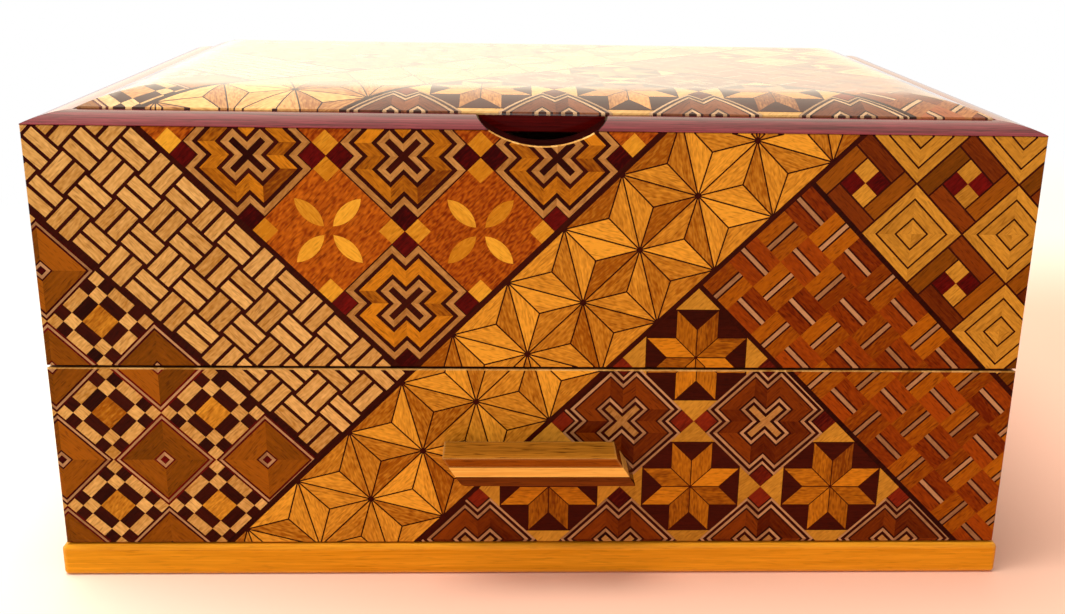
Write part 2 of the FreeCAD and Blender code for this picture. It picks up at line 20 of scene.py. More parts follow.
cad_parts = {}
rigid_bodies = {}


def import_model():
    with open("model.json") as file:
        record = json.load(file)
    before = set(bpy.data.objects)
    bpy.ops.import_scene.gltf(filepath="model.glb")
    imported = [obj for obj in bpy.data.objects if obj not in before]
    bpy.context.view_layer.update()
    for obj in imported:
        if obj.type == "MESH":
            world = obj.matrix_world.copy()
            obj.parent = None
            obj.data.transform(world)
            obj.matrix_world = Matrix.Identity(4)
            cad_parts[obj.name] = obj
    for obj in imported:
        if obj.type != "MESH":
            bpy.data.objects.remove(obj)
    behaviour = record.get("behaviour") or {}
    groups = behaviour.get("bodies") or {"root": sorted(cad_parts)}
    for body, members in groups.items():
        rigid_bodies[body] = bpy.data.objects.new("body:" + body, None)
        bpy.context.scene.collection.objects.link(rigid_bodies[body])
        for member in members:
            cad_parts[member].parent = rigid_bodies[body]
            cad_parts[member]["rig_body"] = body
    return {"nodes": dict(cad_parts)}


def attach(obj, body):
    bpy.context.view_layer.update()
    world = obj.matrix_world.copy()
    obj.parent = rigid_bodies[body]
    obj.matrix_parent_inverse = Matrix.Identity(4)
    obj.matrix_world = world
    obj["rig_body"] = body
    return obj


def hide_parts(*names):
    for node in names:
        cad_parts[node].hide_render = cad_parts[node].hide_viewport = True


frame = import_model()
scene = bpy.context.scene
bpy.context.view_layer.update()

# %% [markdown]
# ## The viewpoint
#
# The camera stands where the photograph was taken: three centimetres higher than the lid and about
# twenty centimetres in front of the drawer. The two vanishing points of the box's edges and the
# even spacing of its pattern give the lens and the place. A small shift keeps the box where it
# sits in the frame, and it is no larger than that framing needs.

# %% Camera
FRAME_WIDTH = 1065
FOCAL_PIXELS = 1219.75
EYE_PLACE = (-0.00588, -0.27548, 0.12391)
EYE_TURN = (72.4324, -1.0553, -2.1744)
EYE_SHIFT = (-0.02527, -0.00442)
eye = bpy.data.cameras.new("photo_view")
eye.sensor_width = 36.0
eye.lens = FOCAL_PIXELS / FRAME_WIDTH * eye.sensor_width
eye.shift_x, eye.shift_y = EYE_SHIFT
eye.clip_start = 0.01
camera = bpy.data.objects.new("photo_view", eye)
camera.location = EYE_PLACE
camera.rotation_euler = [math.radians(angle) for angle in EYE_TURN]
scene.collection.objects.link(camera)
bpy.context.scene.camera = camera
print("lens in millimetres:", round(eye.lens, 2))

# %% [markdown]
# ## Small helpers for materials
#
# Colours are written as they look on a screen, in hex, and Blender wants them linear, so one
# function does that conversion. Another adds a node of a kind, whose full name starts with
# ShaderNode. Its settings are properties or plain socket values, and its links name what feeds each
# input: a socket, or a node for that node's first output. A third starts a material with no nodes.


# %% Colour and node helpers
def linear(hex_colour):
    channels = []
    for k in (1, 3, 5):
        value = int(hex_colour[k:k + 2], 16) / 255
        channels.append(value / 12.92 if value <= 0.04045 else ((value + 0.055) / 1.055) ** 2.4)
    return (*channels, 1.0)


def add(tree, kind, settings=None, links=None):
    node = tree.nodes.new("ShaderNode" + kind)
    for name, value in (settings or {}).items():
        if isinstance(name, str) and name in node.bl_rna.properties:
            setattr(node, name, value)
        else:
            node.inputs[name].default_value = value
    for name, source in (links or {}).items():
        socket = source.outputs[0] if isinstance(source, bpy.types.Node) else source
        tree.links.new(socket, node.inputs[name])
    return node


def new_material(name):
    material = bpy.data.materials.new(name)
    material.use_nodes = True
    material.node_tree.nodes.clear()
    return material, material.node_tree


print("middle grey in linear light:", round(linear("#808080")[0], 3))

# %% [markdown]
# ## Floor
#
# The box stands on a pale table. The table is one plain matt surface, and round one spot to the right
# of the box its colour is painted a deeper peach: a painted pool of warm light and shade, on which the
# lamps' own shadow falls as well. Further off it turns to plain white, so that the picture ends in
# white without more light on the wood. Both changes follow the distance from that spot on the table.

# %% Floor
# middle of the painted pool of warm light and shade on the table
PAINTED_WARM_POOL_CENTRE = (0.16, -0.06, 0.0)
PEACH_TO_CREAM = (0.16, 0.30)
CREAM_TO_WHITE = (0.25, 0.50)
TABLE_REACH = 8.0
UNDER_BOX = 0.00005  # keeps the table just clear of the base
floor_material, tree = new_material("pale_table_top")
place = add(tree, "TexCoord")
apart = add(tree, "VectorMath", {"operation": "DISTANCE", 1: PAINTED_WARM_POOL_CENTRE}, {0: place.outputs["Object"]})
changes = []
for near, far in (PEACH_TO_CREAM, CREAM_TO_WHITE):
    changes.append(add(tree, "MapRange",
                       {"interpolation_type": "SMOOTHSTEP", "From Min": near, "From Max": far},
                       {"Value": apart.outputs["Value"]}))
# painted peach of warm light and shade near the spot, cream further off
tint = add(tree, "Mix", {"data_type": "RGBA", 6: linear("#F4BEA0"), 7: linear("#F6EBD2")},
           {0: changes[0]})
matt = add(tree, "BsdfPrincipled", {"Roughness": 0.6, "Specular IOR Level": 0.1},
           {"Base Color": tint.outputs[2]})
glow = add(tree, "Emission", {"Color": linear("#FFFFFF"), "Strength": 1.0})
both = add(tree, "MixShader", links={0: changes[1], 1: matt, 2: glow})
add(tree, "OutputMaterial", links={"Surface": both})

floor_mesh = bpy.data.meshes.new("table_top")
corners = [(x * TABLE_REACH, y * TABLE_REACH, 0) for x, y in ((-1, -1), (1, -1), (1, 1), (-1, 1))]
floor_mesh.from_pydata(corners, [], [(0, 1, 2, 3)])
floor_mesh.materials.append(floor_material)
floor = bpy.data.objects.new("table_top", floor_mesh)
floor.location.z = -UNDER_BOX
scene.collection.objects.link(floor)
print("table in metres:", 2 * TABLE_REACH)

# %% [markdown]
# ## Room and lamps
#
# The room is bright and soft, with a window to the left. The camera sees a white room. Reflections
# find it brighter towards the window behind the box on the left, because the lid is seen at a low
# angle and its polish mirrors the far side of the room. Three large lamps light the wood: a window,
# a fill from the front, and a ceiling panel that gives the lid and the table more than the front
# gets. The panel is kept out of reflections, so that it draws no disc on the polished lid.

# %% Sky
WINDOW_WAY = Vector((-0.62, 0.78, 0.10)).normalized()
SKY_LIGHT = 0.40  # what the sky gives to matt surfaces; the camera sees it at 1, which is white
# strength in reflections, by the cosine of the angle to the window
GLARE = {"From Min": -0.2, "From Max": 0.98, "To Min": 0.35, "To Max": 2.0}
scene.view_settings.view_transform = "Standard"
sky = bpy.data.worlds.new("bright_room")
sky.use_nodes = True
scene.world = sky
tree = sky.node_tree
tree.nodes.clear()
path = add(tree, "LightPath")
look = add(tree, "TexCoord")
facing = add(tree, "VectorMath", {"operation": "DOT_PRODUCT", 1: WINDOW_WAY},
             {0: look.outputs["Generated"]})
glare = add(tree, "MapRange", GLARE, {"Value": facing.outputs["Value"]})
open_air = add(tree, "Math", {"operation": "MAXIMUM"},
               {0: path.outputs["Is Camera Ray"], 1: path.outputs["Is Transmission Ray"]})
level = add(tree, "MapRange", {"To Min": SKY_LIGHT, "To Max": 1.0}, {"Value": open_air})
level = add(tree, "Mix", {"data_type": "FLOAT"},
            {0: path.outputs["Is Glossy Ray"], 2: level, 3: glare})
warm = add(tree, "Mix", {"data_type": "RGBA", 6: linear("#FFFFFF"), 7: linear("#FFF0DA")},
           {0: path.outputs["Is Glossy Ray"]})
air = add(tree, "Background", links={"Color": warm.outputs[2], "Strength": level})
add(tree, "OutputWorld", links={"Surface": air})
print("sky nodes:", len(tree.nodes))

# %% Lamps
BOX_MIDDLE = Vector((0, 0, 0.04))
# name: place and diameter in metres, watts, tint
LAMPS = {
    "left_window": ((-0.95, -0.30, 0.75), 0.7, 6.2, "#EFF6FF"),
    "front_fill": ((0.25, -1.3, 0.7), 1.0, 4.1, "#EFF6FF"),
    "ceiling_panel": ((-0.25, 0.05, 1.20), 0.9, 18.0, "#FFFFFF"),
}
for name, (spot, size, watts, tint) in LAMPS.items():
    light = bpy.data.lights.new(name, "AREA")
    light.color = linear(tint)[:3]
    light.shape = "DISK"
    light.size = size
    light.energy = watts
    holder = bpy.data.objects.new(name, light)
    holder.location = spot
    holder.rotation_euler = (BOX_MIDDLE - Vector(spot)).to_track_quat("-Z", "Y").to_euler()
    holder.visible_glossy = name != "ceiling_panel"
    scene.collection.objects.link(holder)
print("lamps:", ", ".join(LAMPS))

# %% [markdown]
# ## The slanted drawing board
#
# The pattern of the sheet is ruled in millimetres. Its long dividing strings run at 45 degrees, so
# it is easiest to draw on slanted axes: one climbs to the right, the other climbs to the left.
# Every motif is then a matter of upright squares and bars, which are turned into sheet millimetres
# at the end. A tile is a wood, an outline and the direction of its grain in degrees.

# %% Slanted axes and simple outlines
ROOT_HALF = math.sqrt(0.5)
RIGHT_SLOPE, LEFT_SLOPE = 45, 135  # grain along the axis that climbs to the right or to the left


def on_sheet(u, v):
    return ((u - v) * ROOT_HALF, (u + v) * ROOT_HALF)


def slanted(u, v, corners):
    return [on_sheet(u + du, v + dv) for du, dv in corners]


def block(left, low, right, high):
    return [(left, low), (right, low), (right, high), (left, high)]


def square(half):
    return block(-half, -half, half, half)


def quarter_turned(corners, times):
    for _ in range(times):
        corners = [(-y, x) for x, y in corners]
    return corners


def cross(reach, arm):
    outline = []
    for times in range(4):
        outline += quarter_turned([(reach, -arm), (reach, arm), (arm, arm)], times)
    return outline


print("a cross has", len(cross(2, 1)), "corners")

# %% Lattices and mitred frames
PATCH = (-30, 30, 0, 60)  # left, right, low and high side of a piece on which the fields are tried


def lattice(origin, pitch, window):
    u, v = origin
    left, right, low, high = window
    reach = int((right - left + high - low) / pitch) + 2
    across = round(((left + right + low + high) / 2 * ROOT_HALF - u) / pitch)
    along = round(((low + high - left - right) / 2 * ROOT_HALF - v) / pitch)
    for i in range(across - reach, across + reach + 1):
        for j in range(along - reach, along + reach + 1):
            x, z = on_sheet(u + i * pitch, v + j * pitch)
            if left - pitch < x < right + pitch and low - pitch < z < high + pitch:
                yield (i + j) % 2, u + i * pitch, v + j * pitch


def mitred(wood, u, v, outer, inner):
    tiles = []
    for k in range(len(outer)):
        after = (k + 1) % len(outer)
        rise = outer[after][1] - outer[k][1]
        run = outer[after][0] - outer[k][0]
        side = [outer[k], outer[after], inner[after], inner[k]]
        tiles.append((wood, slanted(u, v, side), math.degrees(math.atan2(rise, run)) + RIGHT_SLOPE))
    return tiles


def shrunk(points, by):
    lines = []
    for k in range(len(points)):
        start = Vector(points[k])
        run = (Vector(points[(k + 1) % len(points)]) - start).normalized()
        inward = Vector((-run.y, run.x))
        lines.append((inward, inward.dot(start) + by))
    corners = []
    for k in range(len(points)):
        a, p = lines[k - 1]
        b, q = lines[k]
        turn = a.x * b.y - a.y * b.x
        corners.append(((p * b.y - q * a.y) / turn, (q * a.x - p * b.x) / turn))
    return corners


print("cells of 10 mm on the patch:", sum(1 for _ in lattice((0, 0), 10, PATCH)))

# %% [markdown]
# ## Check and weave
#
# The left corner is a check of dark and light squares round a honey one, set between brown
# diamonds with a pale string. The band beside it is a basket weave: pairs of light bars, laid in
# turn along each slope on black glue lines. The sizes are read off the photograph with the box's
# own height as the ruler.


# %% Check field
def check_field(window):
    tiles = []
    origin, pitch = (-38.23, 61.83), 13.6
    steps = (-6.8, -4.69, -2.32, 2.32, 4.69, 6.8)
    diamond = (("holly", 6.42, 6.0), ("katsura", 5.64, 1.45), ("holly", 1.17, 0.65))
    for odd, u, v in lattice(origin, pitch, window):
        if not odd:
            tiles.append(("rosewood", slanted(u, v, square(pitch / 2)), RIGHT_SLOPE))
            for wood, outer, inner in diamond:
                tiles += mitred(wood, u, v, square(outer), square(inner))
            continue
        for row in range(5):
            for column in range(5):
                wood = "bog_oak" if (row + column) % 2 else "dogwood"
                if row == column == 2:
                    wood = "sumac"
                cell = block(steps[column], steps[row], steps[column + 1], steps[row + 1])
                tiles.append((wood, slanted(u, v, cell), LEFT_SLOPE if column % 2 else RIGHT_SLOPE))
    return tiles


print("check tiles on the patch:", len(check_field(PATCH)))


# %% Weave field
def weave_field(window):
    tiles = []
    origin, pitch = (-13.96, 93.19), 6.04
    half_length, half_width, beside = 2.96, 1.06, 1.4
    for odd, u, v in lattice(origin, pitch, window):
        grain = LEFT_SLOPE if odd else RIGHT_SLOPE
        for side in (-1, 1):
            middle = beside * side
            bar = block(-half_length, middle - half_width, half_length, middle + half_width)
            tiles.append(("dogwood", slanted(u, v, quarter_turned(bar, odd)), grain))
    return tiles


print("weave bars on the patch:", len(weave_field(PATCH)))

# %% [markdown]
# ## Flowers and crosses
#
# The upper middle is a chequer of two cells: a flower of four petals on curly red-brown wood, and a
# stepped cross of nested light, black and honey frames. Each cell has small squares in its corners,
# so four cells meet in a little check. A petal is the lens between two arcs.


# %% Petals and stepped crosses
def petal(start, end, width, count=9):
    half = (end - start) / 2
    radius = (half ** 2 + (width / 2) ** 2) / width
    swing = math.asin(half / radius)
    edge = []
    for k in range(count):
        turn = swing * (2 * k / (count - 1) - 1)
        rise = radius * math.cos(turn) - radius + width / 2
        edge.append((start + half + radius * math.sin(turn), rise))
    return [(x, -y) for x, y in edge] + edge[-2:0:-1]


def corner_squares(wood, u, v, inner, outer):
    spot = block(inner, inner, outer, outer)
    return [(wood, slanted(u, v, quarter_turned(spot, times)), RIGHT_SLOPE) for times in range(4)]


def stepped_cross(u, v, rings, notch):
    tiles = []
    for k, (wood, reach) in enumerate(rings):
        outline = cross(reach, reach - notch)
        if wood == "bog_oak" or k == len(rings) - 1:
            tiles.append((wood, slanted(u, v, outline), RIGHT_SLOPE))
        else:
            inside = rings[k + 1][1]
            tiles += mitred(wood, u, v, outline, cross(inside, inside - notch))
    return tiles


print("a petal has", len(petal(1, 8, 3)), "corners")


# %% Flower field
def flower_field(window):
    tiles = []
    origin, pitch, half = (17.47, 71.6), 19.3, 9.6
    rings = (("willow", 9.45), ("bog_oak", 8.45), ("chestnut", 7.75), ("bog_oak", 5.65),
             ("willow", 4.95), ("bog_oak", 3.95))
    for odd, u, v in lattice(origin, pitch, window):
        if odd:
            tiles += corner_squares("rosewood", u, v, inner=6.3, outer=9.65)
            tiles += stepped_cross(u, v, rings, notch=3.35)
            continue
        tiles.append(("zelkova", slanted(u, v, square(half)), RIGHT_SLOPE))
        tiles += corner_squares("mulberry", u, v, inner=6.35, outer=half)
        for times in range(4):
            leaf = quarter_turned(petal(start=1.15, end=8.4, width=2.75), times)
            tiles.append(("mulberry", slanted(u, v, leaf), RIGHT_SLOPE + 90 * times))
    return tiles


print("flower tiles on the patch:", len(flower_field(PATCH)))

# %% [markdown]
# ## Hemp leaves
#
# The bright diagonal band is the hemp-leaf pattern: rows of equal triangles, each divided by three
# lines from its corners to its middle. The grain runs along the long side of each sliver, so
# neighbours take the light differently. Every sliver is drawn a little small, and the dark glue
# line is what is left between them.


# %% Leaf field
def leaf_field(window):
    tiles = []
    step, rise, start, ridge, glue = 14.37, 12.45, 26.35, 29.58, 0.14
    left, right, low, high = window
    first = math.floor(((left + low) * ROOT_HALF - start) / step) - 2
    last = math.ceil(((right + high) * ROOT_HALF - start) / step) + 2
    for k in range(first, last):
        a = (start + k * step, ridge)
        b = (a[0] + step, ridge)
        c = (a[0] + step / 2, ridge + rise)
        d = (c[0] + step, c[1])
        e = (c[0], ridge - rise)
        f = (d[0], e[1])
        for triangle in ((a, b, c), (b, d, c), (b, a, e), (b, e, f)):
            middle = (sum(p[0] for p in triangle) / 3, sum(p[1] for p in triangle) / 3)
            for side in range(3):
                p, q = triangle[side], triangle[(side + 1) % 3]
                grain = math.degrees(math.atan2(q[1] - p[1], q[0] - p[0])) + RIGHT_SLOPE
                sliver = shrunk([p, q, middle], glue)
                tiles.append(("sumac", [on_sheet(*corner) for corner in sliver], grain))
    return tiles


print("leaf slivers on the patch:", len(leaf_field(PATCH)))

# %% [markdown]
# ## Stars
#
# The large triangle below is a chequer of eight-pointed stars on black octagons and dark stepped
# crosses edged with two pale strings. A star is eight equal rhombs whose tips touch the corners of
# the octagon, so its size follows from the octagon alone.


# %% Stars
def star(x, z, cell, flat):
    side = cell / ROOT_HALF - flat
    eight = []
    for times in range(4):
        eight += quarter_turned([(flat, -side), (flat, side)], times)
    tiles = [("bog_oak", [(x + a, z + b) for a, b in eight], 0)]
    edge = flat / math.cos(math.radians(22.5)) ** 2 / 2
    glue = 0.1
    for k in range(8):
        turns = [math.radians(45 * k), math.radians(45 * k + 45)]
        p, q = [Vector((edge * math.cos(turn), edge * math.sin(turn))) for turn in turns]
        rhomb = shrunk([Vector((0, 0)), p, p + q, q], glue)
        tiles.append(("chestnut", [(x + a, z + b) for a, b in rhomb], 45 * k + 45 * (k % 2)))
    return tiles


def star_field(window):
    tiles = []
    origin, cell = (48.34, -12.7), 9.74
    rings = (("holly", 9.72), ("bog_oak", 9.31), ("holly", 8.75), ("bog_oak", 8.25),
             ("walnut", 7.94), ("bog_oak", 5.46), ("holly", 5.11), ("bog_oak", 4.6), ("willow", 4.05))
    for odd, u, v in lattice(origin, 2 * cell, window):
        if odd:
            tiles.append(("paulownia", slanted(u, v, square(cell)), RIGHT_SLOPE))
            tiles += star(*on_sheet(u, v), cell, flat=9.51)
        else:
            tiles += corner_squares("padauk", u, v, inner=6.58, outer=cell)
            tiles += stepped_cross(u, v, rings, notch=3.44)
    return tiles


print("star tiles on the patch:", len(star_field(PATCH)))

# %% [markdown]
# ## Bricks and boxes
#
# On the right, square bricks are laid in turn along each slope, each with a pale string between two
# dark ones through its middle. In the far corner nested honey frames alternate with pinwheels:
# four bars running round a small red and honey check.


# %% Brick field
def brick_field(window):
    tiles = []
    origin, half, dark, pale = (75.44, -0.45), 3.385, 0.72, 0.38
    for odd, u, v in lattice(origin, 2 * half, window):
        wood, grain = ("quince", LEFT_SLOPE) if odd else ("camphor", RIGHT_SLOPE)
        strips = ((-half, -dark, wood), (-dark, -pale, "bog_oak"), (-pale, pale, "holly"),
                  (pale, dark, "bog_oak"), (dark, half, wood))
        for low, high, strip in strips:
            bar = quarter_turned(block(-half, low, half, high), odd)
            tiles.append((strip, slanted(u, v, bar), grain))
    return tiles


print("brick strips on the patch:", len(brick_field(PATCH)))


# %% Box field
def box_field(window):
    tiles = []
    origin, pitch = (92.76, -3.26), 13.3
    frames = ((6.5, 4.78), (4.45, 2.25), (1.92, 0.01))
    reach, inside, check = 6.42, 3.5, 3.17
    for odd, u, v in lattice(origin, pitch, window):
        if not odd:
            for outer, inner in frames:
                tiles += mitred("paulownia", u, v, square(outer), square(inner))
            continue
        for times in range(4):
            around, corner = ("walnut", "rosewood") if times % 2 else ("katsura", "paulownia")
            bar = quarter_turned(block(-reach, inside, check, reach), times)
            tiles.append((around, slanted(u, v, bar), RIGHT_SLOPE + 90 * times))
            spot = quarter_turned(block(0, 0, check, check), times)
            tiles.append((corner, slanted(u, v, spot), RIGHT_SLOPE))
    return tiles


print("box tiles on the patch:", len(box_field(PATCH)))

# %% [markdown]
# ## Strings between the fields
#
# Black strings about a millimetre wide part the fields. Two of them bound the leaf band; the others
# end against it. The same lines say which field a point belongs to, and they run on past the
# photographed face, so that the other sheets can be cut from the same drawing. Each string is
# measured where it meets the base line of the sheet.

# %% Fields and strings
FIELDS = {"check": check_field, "weave": weave_field, "flower": flower_field, "leaf": leaf_field,
          "star": star_field, "brick": brick_field, "box": box_field}
UPPER, LOWER = 60.15 * ROOT_HALF, 23.95 * ROOT_HALF
CHECK_END, WEAVE_END = -24.6 * ROOT_HALF, 10.5 * ROOT_HALF
STAR_END, BRICK_END = 82.55 * ROOT_HALF, 121.5 * ROOT_HALF


def field_at(x, z):
    u, v = (x + z) * ROOT_HALF, (z - x) * ROOT_HALF
    if v > UPPER:
        return "check" if u < CHECK_END else "weave" if u < WEAVE_END else "flower"
    if v > LOWER:
        return "leaf"
    return "star" if u < STAR_END else "brick" if u < BRICK_END else "box"


def strings():
    half, far = 0.48, 400.0
    strips = [block(-far, v - half, far, v + half) for v in (UPPER, LOWER)]
    strips += [block(u - half, UPPER, u + half, far) for u in (CHECK_END, WEAVE_END)]
    strips += [block(u - half, -far, u + half, LOWER) for u in (STAR_END, BRICK_END)]
    return [("bog_oak", slanted(0, 0, strip), RIGHT_SLOPE) for strip in strips]


print("field in the middle of the face:", field_at(0, 40))

# %% [markdown]
# ## Grain
#
# Every wood here shows the same things to the eye: fine fibres along the grain, slow bands of growth
# and dark pores, and in curly woods short flecks where the fibres rise and dip. All are noise
# stretched along the grain, so one function draws them for thin veneers and solid boards alike. Real
# fibres are about a tenth of a millimetre wide, too fine for the picture, so they are drawn three or
# four times as wide, and pores nearly as wide.

# %% Grain colour
GROWTH_SHARE, TONE_SHARE = 0.45, 0.3
CONTRAST = {"From Min": 0.33, "From Max": 0.67}
PORE_CUT = {"From Min": 0.60, "From Max": 0.74}
PORE_COLOUR = linear("#6A3A1E")


def grain_colour(tree, place, pale, deep, sizes, pores, curl=0.0, slice_of=None, tone=None):
    noises = []
    for along, across, detail in sizes:
        stretch = add(tree, "VectorMath",
                      {"operation": "MULTIPLY", 1: (1 / along, 1 / across, 1 / across)}, {0: place})
        links = {"Vector": stretch}
        if slice_of:
            links["W"] = slice_of
        noises.append(add(tree, "TexNoise",
                          {"noise_dimensions": "4D", "Scale": 1.0, "Detail": detail, "Roughness": 0.6,
                           "Distortion": 0.3}, links))
    fibre, growth, pore, fleck = noises
    both = add(tree, "Mix", {"data_type": "FLOAT", 0: GROWTH_SHARE}, {2: fibre, 3: growth})
    shade = add(tree, "Mix", {"data_type": "FLOAT", 0: curl}, {2: both, 3: fleck})
    if tone:
        shade = add(tree, "Mix", {"data_type": "FLOAT", 0: TONE_SHARE}, {2: shade, 3: tone})
    shade = add(tree, "MapRange", CONTRAST, {"Value": shade})
    colour = add(tree, "Mix", {"data_type": "RGBA", 6: pale, 7: deep}, {0: shade})
    dots = add(tree, "MapRange", {**PORE_CUT, "To Max": pores}, {"Value": pore})
    pored = add(tree, "Mix", {"data_type": "RGBA", "blend_type": "MULTIPLY", 7: PORE_COLOUR},
                {0: dots, 6: colour.outputs[2]})
    return pored.outputs[2], fibre, growth


print("share of the growth bands in the grain:", GROWTH_SHARE)

# %% [markdown]
# ## Lacquered veneers
#
# Each veneer is a thin slice of one wood under clear lacquer. The direction of its grain and its tone,
# which holds its own colour and a painted sheen, are stored on every tile, so no two tiles look alike.
# The lacquer is a clear coat with a faint ripple, and its index is matched to the object. Lacquer is
# about 1.5; the front shows almost no reflection and its dark woods stay deep, so its coat is set far
# lower. The lid is polished and mirrors the room, so its coat is a little higher, and its woods are
# painted paler towards straw, a painted light for the brighter light that falls on the lid.

# %% Veneer woods
# name: palest tone, deepest tone, strength of the pores, strength of the curl
VENEERS = {
    "dogwood": ("#E8AE62", "#A86C26", 0.30, 0.4),    # pale and close, almost ivory beside black
    "willow": ("#C68A48", "#935A22", 0.30, 0.4),     # dull straw, the frames of the crosses
    "sumac": ("#EA9C2C", "#924A06", 0.35, 0.4),      # gold that changes most with the grain
    "mulberry": ("#EAA22C", "#BE7212", 0.25, 0.35),  # clear yellow, the petals
    "chestnut": ("#D07C14", "#743404", 0.40, 0.35),  # warm orange-brown with open pores
    "zelkova": ("#C46210", "#7E2A02", 0.45, 0.8),    # curly red-brown, flecked all over
    "camphor": ("#AE5C08", "#762E02", 0.45, 0.4),    # reddish tan, the lighter brick
    "quince": ("#993F06", "#621B01", 0.45, 0.4),     # brick red, the darker brick
    "katsura": ("#9A500A", "#683402", 0.40, 0.2),    # olive brown and quiet
    "walnut": ("#803606", "#4E1401", 0.40, 0.2),     # chocolate with a red cast
    "bog_oak": ("#420F04", "#1E0401", 0.30, 0.2),    # almost black, glue lines and strings
    "rosewood": ("#6E0C07", "#300201", 0.40, 0.3),   # deep wine red
    "holly": ("#BE885A", "#8E5E38", 0.15, 0.3),      # pinkish and fine, the pale strings
    "paulownia": ("#D8942E", "#A2681A", 0.30, 0.35),  # even honey, the nested frames
    "padauk": ("#86260C", "#400704", 0.40, 0.3),     # red-brown that varies from tile to tile
}
# length and width of a mark in millimetres, and its detail: fibre, growth, pore, fleck
VENEER_GRAIN = ((7.0, 0.3, 2.0), (40.0, 2.6, 2.0), (1.8, 0.25, 0.0), (1.1, 0.4, 0.0))
RIPPLE = 2.5  # millimetres from crest to crest
FILM = {"Strength": 0.2, "Distance": 0.00004}
TONE_STEP = 90.0  # sets the noise of one tile apart from the next
LACQUER = {"Roughness": 0.5, "Specular IOR Level": 0.0, "Coat Weight": 1.0, "Coat Roughness": 0.06,
           "Coat IOR": 1.1}
POLISH = {**LACQUER, "Coat IOR": 1.7, "Coat Roughness": 0.08}
# painted light: the lid's woods are made paler towards straw for the brighter light on the lid
LID_PAINTED_LIGHT = 0.6
PAINTED_LIGHT_STRAW = linear("#FFE8B4")
LUMINANCE = (0.2126, 0.7152, 0.0722)


# moves a colour towards straw by its brightness, as painted light
def with_painted_light(colour, amount):
    share = amount * sum(weight * channel for weight, channel in zip(LUMINANCE, colour))
    return tuple(channel + share * (straw - channel) for channel, straw in zip(colour, PAINTED_LIGHT_STRAW))


def lacquered_veneer(name, finish, painted_light, pale, deep, pores, curl):
    material, tree = new_material(name)
    pale, deep = with_painted_light(linear(pale), painted_light), with_painted_light(linear(deep), painted_light)
    sheet = add(tree, "Attribute", {"attribute_name": "sheet_mm"})
    grain = add(tree, "Attribute", {"attribute_name": "grain"})
    tone = add(tree, "Attribute", {"attribute_name": "tone"})
    turned = add(tree, "VectorRotate", {"rotation_type": "Z_AXIS", "invert": True},
                 {"Vector": sheet.outputs["Vector"], "Angle": grain.outputs["Fac"]})
    slice_of = add(tree, "Math", {"operation": "MULTIPLY", 1: TONE_STEP}, {0: tone.outputs["Fac"]})
    colour, _, _ = grain_colour(tree, turned, pale, deep, VENEER_GRAIN, pores, curl, slice_of,
                                tone.outputs["Fac"])
    ripple = add(tree, "TexNoise", {"Scale": 1 / RIPPLE, "Detail": 1.0},
                 {"Vector": sheet.outputs["Vector"]})
    skin = add(tree, "Bump", FILM, {"Height": ripple})
    body = add(tree, "BsdfPrincipled", finish, {"Base Color": colour, "Coat Normal": skin})
    add(tree, "OutputMaterial", links={"Surface": body})
    return material


veneers, polished = {}, {}
for name, look in VENEERS.items():
    veneers[name] = lacquered_veneer(name + "_veneer_lacquered", LACQUER, 0.0, *look)
    polished[name] = lacquered_veneer(name + "_veneer_polished_painted_light", POLISH, LID_PAINTED_LIGHT, *look)
print("veneer woods:", ", ".join(veneers))

# %% [markdown]
# ## Cutting a sheet
#
# All tiles of a sheet are laid over each other like paper cut-outs, and a constrained triangulation
# turns the pile into one flat mesh whose edges follow every tile. Each triangle then takes the top
# tile that belongs to its field. This keeps every joint exact, with no slivers cut by hand.

# %% Pile of tiles
INSIDE_ONLY = 1  # the mode of the triangulation that keeps what lies inside an outline
JOIN_WITHIN = 1e-4  # millimetres


def counter_clockwise(points):
    twice_area = 0.0
    for k in range(len(points)):
        (ax, ay), (bx, by) = points[k - 1], points[k]
        twice_area += ax * by - bx * ay
    return list(points) if twice_area > 0 else list(points)[::-1]


def tiles_for(window, slips):
    pile = []
    for field, draw in FIELDS.items():
        across, along = on_sheet(0, slips.get(field, 0.0))
        for wood, outline, grain in draw(window):
            outline = [(x + across, z + along) for x, z in outline]
            middle = [sum(axis) / len(outline) for axis in zip(*outline)]
            if any(field_at(*point) == field for point in [middle, *outline]):
                pile.append((field, wood, counter_clockwise(outline), grain))
    pile += [(None, wood, counter_clockwise(outline), grain) for wood, outline, grain in strings()]
    return pile


def triangulate(outline, pile, rulings):
    corners, faces, edges = [], [], []
    for shape in [outline] + [tile[2] for tile in pile]:
        faces.append(list(range(len(corners), len(corners) + len(shape))))
        corners += [Vector(point) for point in shape]
    for start, end in rulings:
        edges.append((len(corners), len(corners) + 1))
        corners += [Vector(start), Vector(end)]
    points, _, triangles, _, _, under = delaunay_2d_cdt(corners, edges, faces, INSIDE_ONLY,
                                                         JOIN_WITHIN)
    return points, triangles, under


print("tiles on the patch:", len(tiles_for(PATCH, {})))

# %% [markdown]
# ## Tone of each tile
#
# Tiles of one wood differ, because they come from different rods. Grain that lies across the light
# looks darker, and that is painted into each tile's tone as a painted sheen. A seeded draw gives every
# tile a tone from 0, palest, to 1, deepest, and turns its grain by a few degrees. Some woods were
# sorted for evenness and vary less.

# %% Sheet builder
EASE, THICK = 0.2, 0.5
PAINTED_SHEEN_GRAIN, PAINTED_SHEEN_LEAN = 165.0, 0.16
GRAIN_SWAY = 3
EVEN_WOODS = ("dogwood", "willow", "zelkova", "bog_oak", "paulownia")
EVEN_SPREAD = 0.45
WOOD_ORDER = list(VENEERS)


